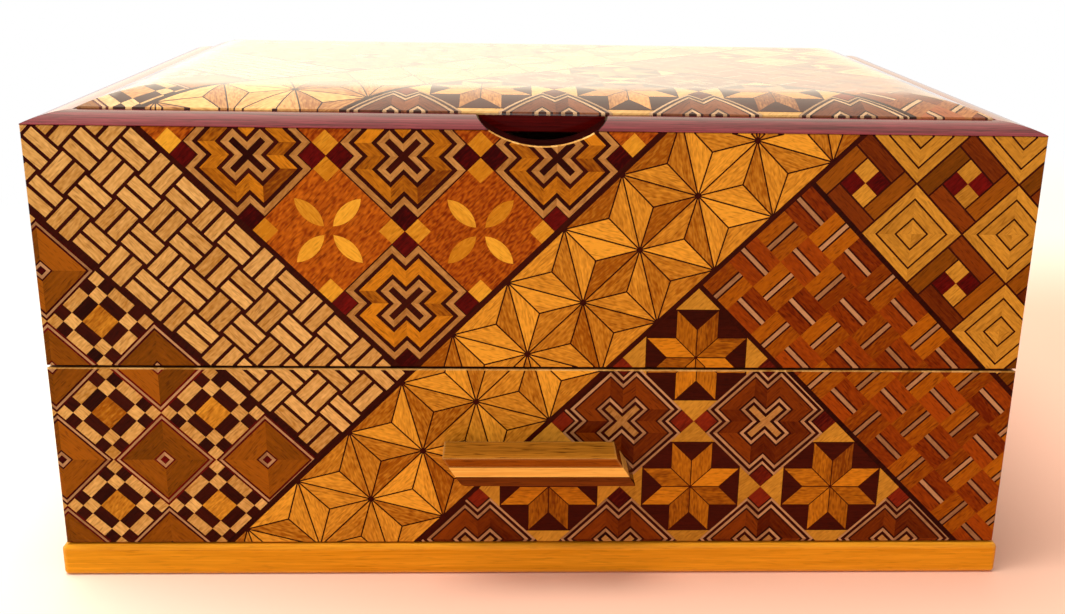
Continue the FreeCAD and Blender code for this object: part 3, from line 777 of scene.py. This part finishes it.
def tile_tones_and_sheen(pile, seed):
    dice = random.Random(seed)
    tones = []
    for _, wood, _, grain in pile:
        # painted sheen: tiles whose grain lies across the light are drawn deeper
        painted_sheen = PAINTED_SHEEN_LEAN * math.cos(2 * math.radians(grain - PAINTED_SHEEN_GRAIN))
        spread = EVEN_SPREAD if wood in EVEN_WOODS else 1.0
        tone = 0.5 + spread * (dice.random() - 0.5) - painted_sheen
        tones.append((min(max(tone, 0.0), 1.0), dice.gauss(0, GRAIN_SWAY)))
    return tones


def marquetry_sheet(outline, to_frame, seed, slips, rulings=()):
    outline = counter_clockwise(outline)
    xs, zs = zip(*outline)
    pile = tiles_for((min(xs), max(xs), min(zs), max(zs)), slips)
    points, triangles, under = triangulate(shrunk(outline, EASE), pile, rulings)
    tones = tile_tones_and_sheen(pile, seed)
    mesh = bmesh.new()
    spot = mesh.verts.layers.float_vector.new("sheet_mm")
    grain_of = mesh.faces.layers.float.new("grain")
    tone_of = mesh.faces.layers.float.new("tone")
    mesh.loops.layers.uv.new("OFBake")
    verts = []
    for point in points:
        verts.append(mesh.verts.new(to_frame(point.x, point.y, 0.0)))
        verts[-1][spot] = (point.x, point.y, 0)
    for triangle, pieces in zip(triangles, under):
        if 0 not in pieces:
            continue
        middle = sum((points[k] for k in triangle), Vector((0, 0))) / 3
        field = field_at(middle.x, middle.y)
        fits = [k - 1 for k in pieces if k and pile[k - 1][0] in (None, field)]
        wood, grain, tone, sway = "bog_oak", RIGHT_SLOPE, 0.5, 0.0
        if fits:
            _, wood, _, grain = pile[max(fits)]
            tone, sway = tones[max(fits)]
        face = mesh.faces.new([verts[k] for k in triangle])
        face.material_index = WOOD_ORDER.index(wood)
        face[grain_of] = math.radians(grain + sway)
        face[tone_of] = tone
    return mesh


print("woods in the order of their slots:", len(WOOD_ORDER))

# %% [markdown]
# ## Edges of a sheet
#
# The rim of a sheet is eased by a fifth of a millimetre, so that it catches the light as a real one
# does, and then drops by the sheet's thickness. Upper edges that hands reach, on the drawer and in the
# notch, are pale dogwood: partly rubbed wear and partly a painted highlight where light catches them.
# The mesh also gets a flat unwrap for the later bake.

# %% Sheet edges
# how far an edge must face upward to take the pale wood of wear and painted highlight
WEAR_AND_HIGHLIGHT_RISE = 0.3
UNWRAP_MARGIN, UNWRAP_ROOM = 0.01, 1


def rim_moves(mesh, layer):
    moves = {}
    for edge in mesh.edges:
        if len(edge.link_loops) != 1:
            continue
        loop = edge.link_loops[0]
        start, end = loop.vert, loop.link_loop_next.vert
        run = (end[layer] - start[layer]).normalized()
        for vert in (start, end):
            moves.setdefault(vert, []).append(Vector((run.y, -run.x, 0)))
    return {vert: (a + b) / (1 + a.dot(b)) for vert, (a, b) in moves.items()}


def add_rim(mesh, to_frame, wear_and_highlight_below):
    spot = mesh.verts.layers.float_vector["sheet_mm"]
    grain_of = mesh.faces.layers.float["grain"]
    tone_of = mesh.faces.layers.float["tone"]
    moves = rim_moves(mesh, spot)
    border = [edge for edge in mesh.edges if len(edge.link_loops) == 1]
    rings = [{vert: vert for vert in moves}]
    for out, down in ((EASE, EASE), (EASE, THICK)):
        ring = {}
        for vert, move in moves.items():
            place = vert[spot] + move * out
            ring[vert] = mesh.verts.new(to_frame(place.x, place.y, down))
            ring[vert][spot] = vert[spot] + move * (out + down)
        rings.append(ring)
    for edge in border:
        loop = edge.link_loops[0]
        start, end = loop.vert, loop.link_loop_next.vert
        # upward edges below this height take pale wood: rubbed wear and a painted highlight
        free = min(moves[start].y, moves[end].y) > WEAR_AND_HIGHLIGHT_RISE and start[spot].y < wear_and_highlight_below
        for upper, lower in zip(rings, rings[1:]):
            face = mesh.faces.new([upper[end], upper[start], lower[start], lower[end]])
            face.material_index = WOOD_ORDER.index("dogwood") if free else loop.face.material_index
            face[grain_of] = loop.face[grain_of]
            face[tone_of] = loop.face[tone_of]


def unwrap(mesh, window):
    spot = mesh.verts.layers.float_vector["sheet_mm"]
    flat = mesh.loops.layers.uv["OFBake"]
    left, right, low, high = window
    share = 1 - 2 * UNWRAP_MARGIN
    for face in mesh.faces:
        for loop in face.loops:
            place = loop.vert[spot]
            across = (place.x - left + UNWRAP_ROOM) / (right - left + 2 * UNWRAP_ROOM)
            along = (place.y - low + UNWRAP_ROOM) / (high - low + 2 * UNWRAP_ROOM)
            loop[flat].uv = (UNWRAP_MARGIN + share * across, UNWRAP_MARGIN + share * along)


def finish_sheet(name, mesh, to_frame, window, skins, wear_and_highlight_below):
    loose = [vert for vert in mesh.verts if not vert.link_faces]
    bmesh.ops.delete(mesh, geom=loose, context="VERTS")
    add_rim(mesh, to_frame, wear_and_highlight_below)
    unwrap(mesh, window)
    result = bpy.data.meshes.new(name)
    mesh.to_mesh(result)
    mesh.free()
    for wood in WOOD_ORDER:
        result.materials.append(skins[wood])
    piece = bpy.data.objects.new(name, result)
    scene.collection.objects.link(piece)
    return piece


print("sheets are", THICK, "mm thick")

# %% [markdown]
# ## The flat sheets
#
# Each flat sheet takes its outline from the CAD piece that it stands for, so the notch and the
# cut-outs are exactly where the model has them. Front and drawer share one drawing, and the pattern
# runs on across the seam with a small jog: the saw took about a millimetre there, and some fields
# of the drawer's slice lie a little higher. The ends and the back are cut from other places on the
# same block.

# %% Outline of a CAD sheet
SAME_PLACE = 1e-6  # metres
STRAIGHT = 1e-4  # sine of the turn below which a corner is left out


def border_loops(faces):
    inside = set(faces)
    follow = {}
    for face in faces:
        for loop in face.loops:
            if sum(1 for other in loop.edge.link_faces if other in inside) == 1:
                follow[loop.vert] = loop.link_loop_next.vert
    while follow:
        chain = [next(iter(follow))]
        while follow[chain[-1]] is not chain[0]:
            chain.append(follow[chain[-1]])
        for vert in chain:
            follow.pop(vert)
        yield chain


def face_outline(node, right, up, outward):
    mesh = bmesh.new()
    mesh.from_mesh(frame["nodes"][node].data)
    bmesh.ops.remove_doubles(mesh, verts=mesh.verts, dist=SAME_PLACE)
    outer = max(vert.co.dot(outward) for vert in mesh.verts)
    faces = [face for face in mesh.faces
             if all(abs(vert.co.dot(outward) - outer) < SAME_PLACE for vert in face.verts)]
    loops = [[(vert.co.dot(right) * 1000, vert.co.dot(up) * 1000) for vert in chain]
             for chain in border_loops(faces)]
    mesh.free()
    longest = max(loops, key=lambda loop: max(x for x, _ in loop) - min(x for x, _ in loop))
    kept = []
    for k, point in enumerate(longest):
        before, after = Vector(longest[k - 1]), Vector(longest[(k + 1) % len(longest)])
        a, b = Vector(point) - before, after - Vector(point)
        if abs(a.x * b.y - a.y * b.x) > STRAIGHT * a.length * b.length:
            kept.append(point)
    return kept, outer


X_WAY, Y_WAY, Z_WAY = Vector((1, 0, 0)), Vector((0, 1, 0)), Vector((0, 0, 1))
print("corners of the front sheet:", len(face_outline("front_veneer", X_WAY, Z_WAY, -Y_WAY)[0]))

# %% Flat sheets
BASE_TOP = 6.2
DRAWER_SLIPS = {"check": 0.93, "weave": 0.96, "star": 0.38, "brick": 0.98}
FRONT, BACK = (X_WAY, -Y_WAY), (-X_WAY, Y_WAY)
LEFT, RIGHT = (-Y_WAY, -X_WAY), (Y_WAY, X_WAY)


def flat_sheet(node, body, side, shift, seed, slips=None):
    right, outward = side
    edge, outer = face_outline(node, right, Z_WAY, outward)
    across, along = shift[0], shift[1] - BASE_TOP
    outline = [(x + across, z + along) for x, z in edge]

    def to_frame(x, z, depth):
        level = right * ((x - across) / 1000) + Z_WAY * ((z - along) / 1000)
        return level + outward * (outer - depth / 1000)

    xs, zs = zip(*outline)
    window = (min(xs), max(xs), min(zs), max(zs))
    mesh = marquetry_sheet(outline, to_frame, seed, slips or {})
    wear_and_highlight_below = window[3] + 1 if body == "drawer" else window[3] - 2 * EASE
    piece = finish_sheet(node + "_marquetry", mesh, to_frame, window, veneers, wear_and_highlight_below)
    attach(piece, body)
    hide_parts(node)
    print(piece.name, "faces:", len(piece.data.polygons), "corners of the outline:", len(outline))


flat_sheet("front_veneer", "case", FRONT, shift=(0, 0), seed=11)
flat_sheet("drawer_veneer", "drawer", FRONT, shift=(-0.57, -0.57), seed=12, slips=DRAWER_SLIPS)
flat_sheet("back_veneer", "case", BACK, shift=(24, 0), seed=13)
flat_sheet("left_veneer", "case", LEFT, shift=(-22, 0), seed=14)
flat_sheet("right_veneer", "case", RIGHT, shift=(26, 0), seed=15)
flat_sheet("drawer_end_veneer_left", "drawer", LEFT, shift=(-22, 0), seed=16)
flat_sheet("drawer_end_veneer_right", "drawer", RIGHT, shift=(26, 0), seed=17)

# %% [markdown]
# ## The lid's sheet
#
# The lid is crowned: flat in the middle and falling almost 3 mm in an arc over a border of 13 mm,
# with a small bevel along the hinge. The sheet is drawn flat like the others, with extra ruled lines
# across the border so that it can bend, and every corner is then set down on the crown.

# %% Crown of the lid
LID_SHIFT = (13.1, 54.3)
HALF_LENGTH, HALF_DEPTH, BORDER = 83.5, 53.5, 13.1
EDGE_TOP, CROWN, REAR_BEVEL = 89.75, 2.9, 1.2
CROWN_RADIUS = (BORDER ** 2 + CROWN ** 2) / (2 * CROWN)
BORDER_STEPS = 8


def arc_fall(inside):
    return CROWN_RADIUS - math.sqrt(CROWN_RADIUS ** 2 - inside ** 2)


def crown_height(x, y):
    reach_in = max(abs(x) - HALF_LENGTH, abs(y) - HALF_DEPTH) + BORDER
    crown = EDGE_TOP + CROWN - arc_fall(min(max(reach_in, 0.0), BORDER))
    rise = CROWN - arc_fall(BORDER - REAR_BEVEL) + REAR_BEVEL
    bevel = EDGE_TOP - REAR_BEVEL + rise * (HALF_DEPTH - y) / REAR_BEVEL
    return min(crown, bevel)


def on_lid(x, z, depth):
    x, y = x - LID_SHIFT[0], z - LID_SHIFT[1]
    return Vector((x, y, crown_height(x, y) - depth)) / 1000


def lid_rulings():
    lines = []
    far_x, far_y = HALF_LENGTH + 1, HALF_DEPTH + 1
    for step in range(BORDER_STEPS + 1):
        inset = BORDER * step / BORDER_STEPS
        for side in (-1, 1):
            x, y = side * (HALF_LENGTH - inset), side * (HALF_DEPTH - inset)
            lines.append(((x, -far_y), (x, far_y)))
            lines.append(((-far_x, y), (far_x, y)))
    lines.append(((-far_x, HALF_DEPTH - REAR_BEVEL), (far_x, HALF_DEPTH - REAR_BEVEL)))
    for x, y in ((-1, -1), (1, -1), (1, 1), (-1, 1)):
        corner = (x * far_x, y * far_y)
        lines.append((corner, (corner[0] - x * (BORDER + 1), corner[1] - y * (BORDER + 1))))
    return [tuple((x + LID_SHIFT[0], y + LID_SHIFT[1]) for x, y in line) for line in lines]


print("crown radius:", round(CROWN_RADIUS, 1), "ruled lines:", len(lid_rulings()))


# %% Lid sheet
def soften(mesh, sharp_from):
    mesh.polygons.foreach_set("use_smooth", [True] * len(mesh.polygons))
    mesh.set_sharp_from_angle(angle=math.radians(sharp_from))


edge = [(x + LID_SHIFT[0], y + LID_SHIFT[1])
        for x, y in block(-HALF_LENGTH, -HALF_DEPTH, HALF_LENGTH, HALF_DEPTH)]
window = (edge[0][0], edge[2][0], edge[0][1], edge[2][1])
lid_mesh = marquetry_sheet(edge, on_lid, seed=18, slips={}, rulings=lid_rulings())
lid_sheet = finish_sheet("lid_marquetry", lid_mesh, on_lid, window, polished, wear_and_highlight_below=window[2])
soften(lid_sheet.data, sharp_from=25)
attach(lid_sheet, "lid")
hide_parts("lid_veneer")
print("lid sheet faces:", len(lid_sheet.data.polygons))

# %% [markdown]
# ## Solid woods
#
# The boards, the rim and the handle are solid wood, so their grain runs through the whole piece and
# shows as lines along its faces and dots on its ends. The same stretched noise does this in three
# dimensions, along the axis that the board was sawn on. Faces across that axis are tinted darker: end
# grain drinks more lacquer, and the same tint also stands as painted shade on end faces. Lacquer wears
# thin on arrises, and the wood is paler there; where a board's edge colour is raised, as on the base,
# the pale arris is also a painted highlight. The bevel node finds the edges.

# %% Solid wood
# length and width of a mark in millimetres, and its detail: fibre, growth, pore, fleck
BOARD_GRAIN = ((14.0, 0.4, 2.0), (140.0, 3.0, 3.0), (3.0, 0.3, 0.0), (1.5, 0.5, 0.0))
WEAR_AND_HIGHLIGHT_REACH = 0.0006  # metres from an arris
WEAR_AND_HIGHLIGHT_TURN = {"From Min": 0.995, "From Max": 0.90}
END_GRAIN_AND_SHADE = {"From Min": 0.6, "From Max": 0.9, "To Max": 0.6}
END_GRAIN_AND_SHADE_TINT = linear("#8A6A54")


def lacquered_board(name, pale, deep, along, finish=LACQUER, pores=0.4, edge_wear_and_highlight=0.35, edge=None):
    material, tree = new_material(name)
    pale, deep, edge = linear(pale), linear(deep), linear(edge or pale)
    place = add(tree, "TexCoord")
    measure = add(tree, "VectorMath", {"operation": "SCALE", "Scale": 1000.0},
                  {0: place.outputs["Object"]})
    turned = add(tree, "VectorRotate",
                 {"rotation_type": "Z_AXIS", "Angle": math.radians(0 if along == "x" else 90)},
                 {"Vector": measure})
    colour, fibre, growth = grain_colour(tree, turned, pale, deep, BOARD_GRAIN, pores)
    flat = add(tree, "NewGeometry")
    soft = add(tree, "Bevel", {"samples": 4, "Radius": WEAR_AND_HIGHLIGHT_REACH})
    turn = add(tree, "VectorMath", {"operation": "DOT_PRODUCT"},
               {0: flat.outputs["Normal"], 1: soft})
    # paler arrises: lacquer wear, and a painted highlight where the amount is raised, as on the base
    near = add(tree, "MapRange", {**WEAR_AND_HIGHLIGHT_TURN, "To Max": edge_wear_and_highlight}, {"Value": turn.outputs["Value"]})
    patchy = add(tree, "Math", {"operation": "MULTIPLY"}, {0: near, 1: growth})
    rubbed = add(tree, "Mix", {"data_type": "RGBA", 7: edge}, {0: patchy, 6: colour})
    # darker faces across the grain axis: end grain, and painted shade on end faces
    way = X_WAY if along == "x" else Y_WAY
    towards = add(tree, "VectorMath", {"operation": "DOT_PRODUCT", 1: way},
                  {0: place.outputs["Normal"]})
    cut = add(tree, "Math", {"operation": "ABSOLUTE"}, {0: towards.outputs["Value"]})
    ends_and_shade = add(tree, "MapRange", END_GRAIN_AND_SHADE, {"Value": cut})
    tinted = add(tree, "Mix", {"data_type": "RGBA", "blend_type": "MULTIPLY", 7: END_GRAIN_AND_SHADE_TINT},
                 {0: ends_and_shade, 6: rubbed.outputs[2]})
    skin = add(tree, "Bump", FILM, {"Height": fibre})
    body = add(tree, "BsdfPrincipled", finish,
               {"Base Color": tinted.outputs[2], "Normal": skin})
    add(tree, "OutputMaterial", links={"Surface": body})
    return material


print("board fibres in millimetres:", BOARD_GRAIN[0][:2])

# %% [markdown]
# ## Which wood goes where
#
# The rim and the lid's edge are rosewood, the base is honey-coloured ash, and the handle is glued from
# walnut, maple and smoked oak, its top rubbed pale by fingers. The notch shows dark end grain, made
# almost black as painted shade in the hollow. Inside, the boards are bare basswood, finished with
# nothing but a plane, and the key is beech.

# %% Board woods
RIM_LACQUER = {**LACQUER, "Coat IOR": 1.28, "Coat Roughness": 0.12}
BARE = {"Roughness": 0.7, "Specular IOR Level": 0.2}
woods = {
    # almost black red: end grain where the notch cuts across the rim's grain, and painted shade in the
    # hollow
    "notch": lacquered_board("rosewood_end_grain_painted_shade", "#2A0A08", "#120302", "x"),
    # bright honey; its pale upper edge is partly rubbed wear and partly a painted highlight
    "base": lacquered_board("honey_ash_base", "#F4A022", "#CE7C0A", "x", pores=0.15, edge_wear_and_highlight=1.6,
                            edge="#FFD99A"),
    # red-brown on its front, olive and porous where fingers rub it
    "handle_brown": lacquered_board("walnut_handle", "#9A4A06", "#6A2C02", "x", edge_wear_and_highlight=0.9, edge="#D09A50"),
    "handle_worn": lacquered_board("walnut_handle_rubbed", "#B8721E", "#70400C", "x", pores=0.7,
                                   edge_wear_and_highlight=0.9, edge="#D8A860"),
    # a clean light stripe over a dark one
    "handle_light": lacquered_board("maple_handle", "#FFC25E", "#E2963A", "x", pores=0.12),
    "handle_dark": lacquered_board("smoked_oak_handle", "#78360A", "#4A1C03", "x"),
    # painted shade: the drawer front's top is dark and matt, so that the drawer's edge doesn't show in the
    # seam
    "painted_seam_shade": lacquered_board("basswood_painted_seam_shade", "#4A2410", "#2A1206", "x", BARE, edge_wear_and_highlight=0.1),
    # a shade redder than the case, so that the key can be told apart
    "key": lacquered_board("bare_beech_key", "#D9A56E", "#B67F4A", "x", BARE),
}
for way, run in (("x", "_long"), ("y", "_short")):
    # wine red with dark streaks and a satin shine; the pale tone is lifted towards lilac as a painted
    # reflection of the bright room
    woods["rim_" + way] = lacquered_board("rosewood_rim_painted_sheen" + run, "#8E3238", "#3C0E12", way, RIM_LACQUER)
    # the same wood in the shade of the rim
    woods["edge_" + way] = lacquered_board("rosewood_lid_edge" + run, "#620A06", "#3E0201", way)
    # pale and matt, with faint lines
    woods["case_" + way] = lacquered_board("bare_basswood" + run, "#E3C08C", "#C89C62", way, BARE, edge_wear_and_highlight=0.1)
print("solid woods:", ", ".join(woods))

# %% [markdown]
# ## Eased boards
#
# A CAD board has knife-sharp arrises, and no real board does. Each visible board is copied, its flat
# faces are joined again, and its outer arrises are rounded by a fraction of a millimetre. Rounding
# only takes wood away, so the piece stays inside its CAD solid. Three boards show a second wood on
# some faces: the dark end grain in the notch, with painted shade, the top of the drawer front, painted
# dark as the shade in the seam, and the rubbed top of the handle.

# %% Second woods
NOTCH_REACH, NOTCH_TOP = 0.018, 0.086  # metres
LEVEL, TURNED = 0.9, 0.02  # how far the normal of a face points up, or to one side


def on_top(face):
    return face.normal.z > LEVEL


# faces of the notch's sides and floor, which take end grain and painted shade
def in_notch(face):
    if abs(face.center.x) > NOTCH_REACH:
        return False
    return abs(face.normal.x) > TURNED or (on_top(face) and face.center.z < NOTCH_TOP)


# the drawer front's top takes painted seam shade; the notch takes end grain and painted shade
SECOND_WOOD = {"rim_front": ("notch", in_notch), "drawer_front": ("painted_seam_shade", on_top),
               "handle_top_layer": ("handle_worn", on_top)}
print("boards with two woods:", ", ".join(SECOND_WOOD))

# %% Eased copies
FLAT_WITHIN, ARRIS_FROM, SHARP_FROM = 0.5, 30, 40  # degrees between two faces
# node, rounding in millimetres, wood, slot
BOARDS = (
    ("base_plate", 0.7, "base", "honey_wood"),
    ("rim_front", 0.25, "rim_x", "dark_red_wood"),
    ("rim_back", 0.25, "rim_x", "dark_red_wood"),
    ("rim_left", 0.25, "rim_y", "dark_red_wood"),
    ("rim_right", 0.25, "rim_y", "dark_red_wood"),
    ("lid_edge_front", 0.2, "edge_x", "dark_red_wood"),
    ("lid_edge_left", 0.2, "edge_y", "dark_red_wood"),
    ("lid_edge_right", 0.2, "edge_y", "dark_red_wood"),
    ("lid_hinge_rail", 0.2, "edge_x", "dark_red_wood"),
    ("drawer_front", 0.15, "case_x", "pale_case_wood"),
    ("handle_top_layer", 0.15, "handle_brown", "brown_wood"),
    ("handle_middle_layer", 0.15, "handle_light", "light_wood"),
    ("handle_bottom_layer", 0.15, "handle_dark", "dark_brown_wood"),
)


def eased_mesh(node, width):
    mesh = bmesh.new()
    mesh.from_mesh(frame["nodes"][node].data)
    bmesh.ops.remove_doubles(mesh, verts=mesh.verts, dist=SAME_PLACE)
    bmesh.ops.dissolve_limit(mesh, angle_limit=math.radians(FLAT_WITHIN), verts=mesh.verts,
                             edges=mesh.edges)
    arrises = [edge for edge in mesh.edges if len(edge.link_faces) == 2 and edge.is_convex
               and edge.calc_face_angle() > math.radians(ARRIS_FROM)]
    bmesh.ops.bevel(mesh, geom=arrises, offset=width / 1000, offset_type="OFFSET", segments=2,
                    profile=0.5, affect="EDGES", clamp_overlap=True)
    result = bpy.data.meshes.new(node + "_board")
    mesh.to_mesh(result)
    mesh.free()
    soften(result, SHARP_FROM)
    return result


for node, width, wood, slot in BOARDS:
    board = eased_mesh(node, width)
    board.materials.append(woods[wood])
    if node in SECOND_WOOD:
        second, chosen = SECOND_WOOD[node]
        board.materials.append(woods[second])
        for face in board.polygons:
            face.material_index = int(chosen(face))
    piece = bpy.data.objects.new(node + "_board", board)
    scene.collection.objects.link(piece)
    piece.modifiers.new("even_shading", "WEIGHTED_NORMAL").keep_sharp = True
    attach(piece, frame["nodes"][node]["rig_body"])
    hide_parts(node)
    print(piece.name, "faces:", len(board.polygons))

# %% [markdown]
# ## Inside
#
# The boards inside keep their CAD shape, because nobody eases an arris that no hand meets. They only
# change their material.


# %% Inside boards
def dress(node, material):
    slots = frame["nodes"][node].data.materials
    slots.clear()
    slots.append(material)


INSIDE = {
    "case_x": ("back_wall", "front_wall", "middle_floor", "lid_core", "drawer_back", "drawer_bottom"),
    "case_y": ("left_wall", "right_wall", "lid_ledge_left", "lid_ledge_right", "drawer_side_left",
               "drawer_side_right"),
    "key": ("key_strip", "key_tongue", "key_peg", "handle_pegs"),
}
for wood, nodes in INSIDE.items():
    for node in nodes:
        dress(node, woods[wood])
print("inside boards:", sum(len(nodes) for nodes in INSIDE.values()))

# %% [markdown]
# ## Hinge pins
#
# Two short brass rods carry the lid. They are drawn through a die, which leaves fine lines along
# their length, and years in the wood have dulled the metal unevenly. The lines are noise stretched
# along the pin, drawn three times coarser than real ones so that they can be seen.

# %% Brass pins
LINE_LENGTH, LINE_WIDTH = 0.005, 0.000125  # metres
brass, tree = new_material("brass_drawn_dull")
place = add(tree, "TexCoord")
stretch = add(tree, "VectorMath",
              {"operation": "MULTIPLY", 1: (1 / LINE_LENGTH, 1 / LINE_WIDTH, 1 / LINE_WIDTH)},
              {0: place.outputs["Object"]})
lines = add(tree, "TexNoise", {"Scale": 1.0, "Detail": 2.0}, {"Vector": stretch})
colour = add(tree, "Mix", {"data_type": "RGBA", 6: linear("#D8B25A"), 7: linear("#A67C30")},
             {0: lines})
scratch = add(tree, "Bump", {"Strength": 0.3, "Distance": 0.00002}, {"Height": lines})
body = add(tree, "BsdfPrincipled", {"Metallic": 1.0, "Roughness": 0.32},
           {"Base Color": colour.outputs[2], "Normal": scratch})
add(tree, "OutputMaterial", links={"Surface": body})
for node in ("hinge_pin_left", "hinge_pin_right"):
    dress(node, brass)
print("brass pins: 2")
